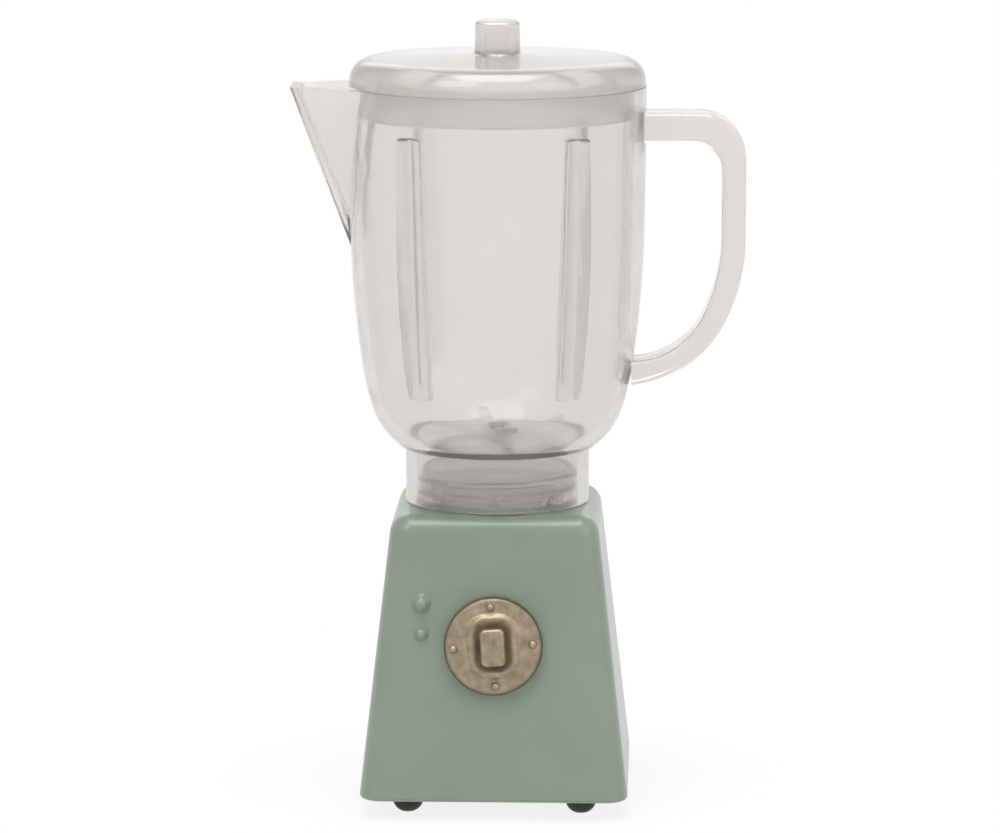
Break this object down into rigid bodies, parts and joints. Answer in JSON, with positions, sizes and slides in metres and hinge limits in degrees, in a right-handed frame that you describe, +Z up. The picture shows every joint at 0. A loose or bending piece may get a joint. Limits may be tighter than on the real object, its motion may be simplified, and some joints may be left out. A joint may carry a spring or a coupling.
{
  "type": "toy blender",
  "caption": "Miniature toy blender: painted tapered base with a turning dial, clear lift-off jug with spout, handle and blades, and a clear lid with a knob.",
  "frame": {"origin": "on the axis of the jar and the base, at the level of the surface that the four feet stand on", "axes": "+Z up; the dial faces -Y, the spout points along -X and the handle along +X"},
  "size_m": [0.045, 0.0294, 0.078],
  "materials": {
    "painted_shell": "smooth gloss paint",
    "plate_plastic": "fine matt",
    "screw_steel": "zinc plated",
    "foot_rubber": "matt",
    "dial_paint": "antique metallic paint",
    "clear_plastic": "clear moulded, polished"
  },
  "bodies": {
    "base": {"base_housing": "painted_shell", "bottom_plate": "plate_plastic", "bottom_screws": "screw_steel", "foot_front_left": "foot_rubber", "foot_front_right": "foot_rubber", "foot_rear_left": "foot_rubber", "foot_rear_right": "foot_rubber"},
    "dial": {"dial_plate": "dial_paint", "dial_paddle": "dial_paint", "dial_rivets": "dial_paint", "dial_washer": "screw_steel", "dial_screw": "screw_steel"},
    "jar": {"jar": "clear_plastic", "threaded_plug": "clear_plastic", "blade_pin": "clear_plastic"},
    "blades": {"blade_star": "clear_plastic"},
    "lid": {"lid": "clear_plastic"}
  },
  "joints": [
    {"name": "dial_turn", "type": "hinge", "parent": "base", "child": "dial", "pos_m": [0, -0.01155, 0.0174], "axis": [0, -0.9937, 0.1124], "continuous": true},
    {"name": "jar_lift", "type": "slide", "parent": "base", "child": "jar", "axis": [0, 0, 1], "range_m": [0, 0.012]},
    {"name": "blade_spin", "type": "hinge", "parent": "jar", "child": "blades", "pos_m": [0, 0, 0.0373], "axis": [0, 0, 1], "continuous": true},
    {"name": "lid_lift", "type": "slide", "parent": "jar", "child": "lid", "axis": [0, 0, 1], "range_m": [0, 0.015]}
  ]
}
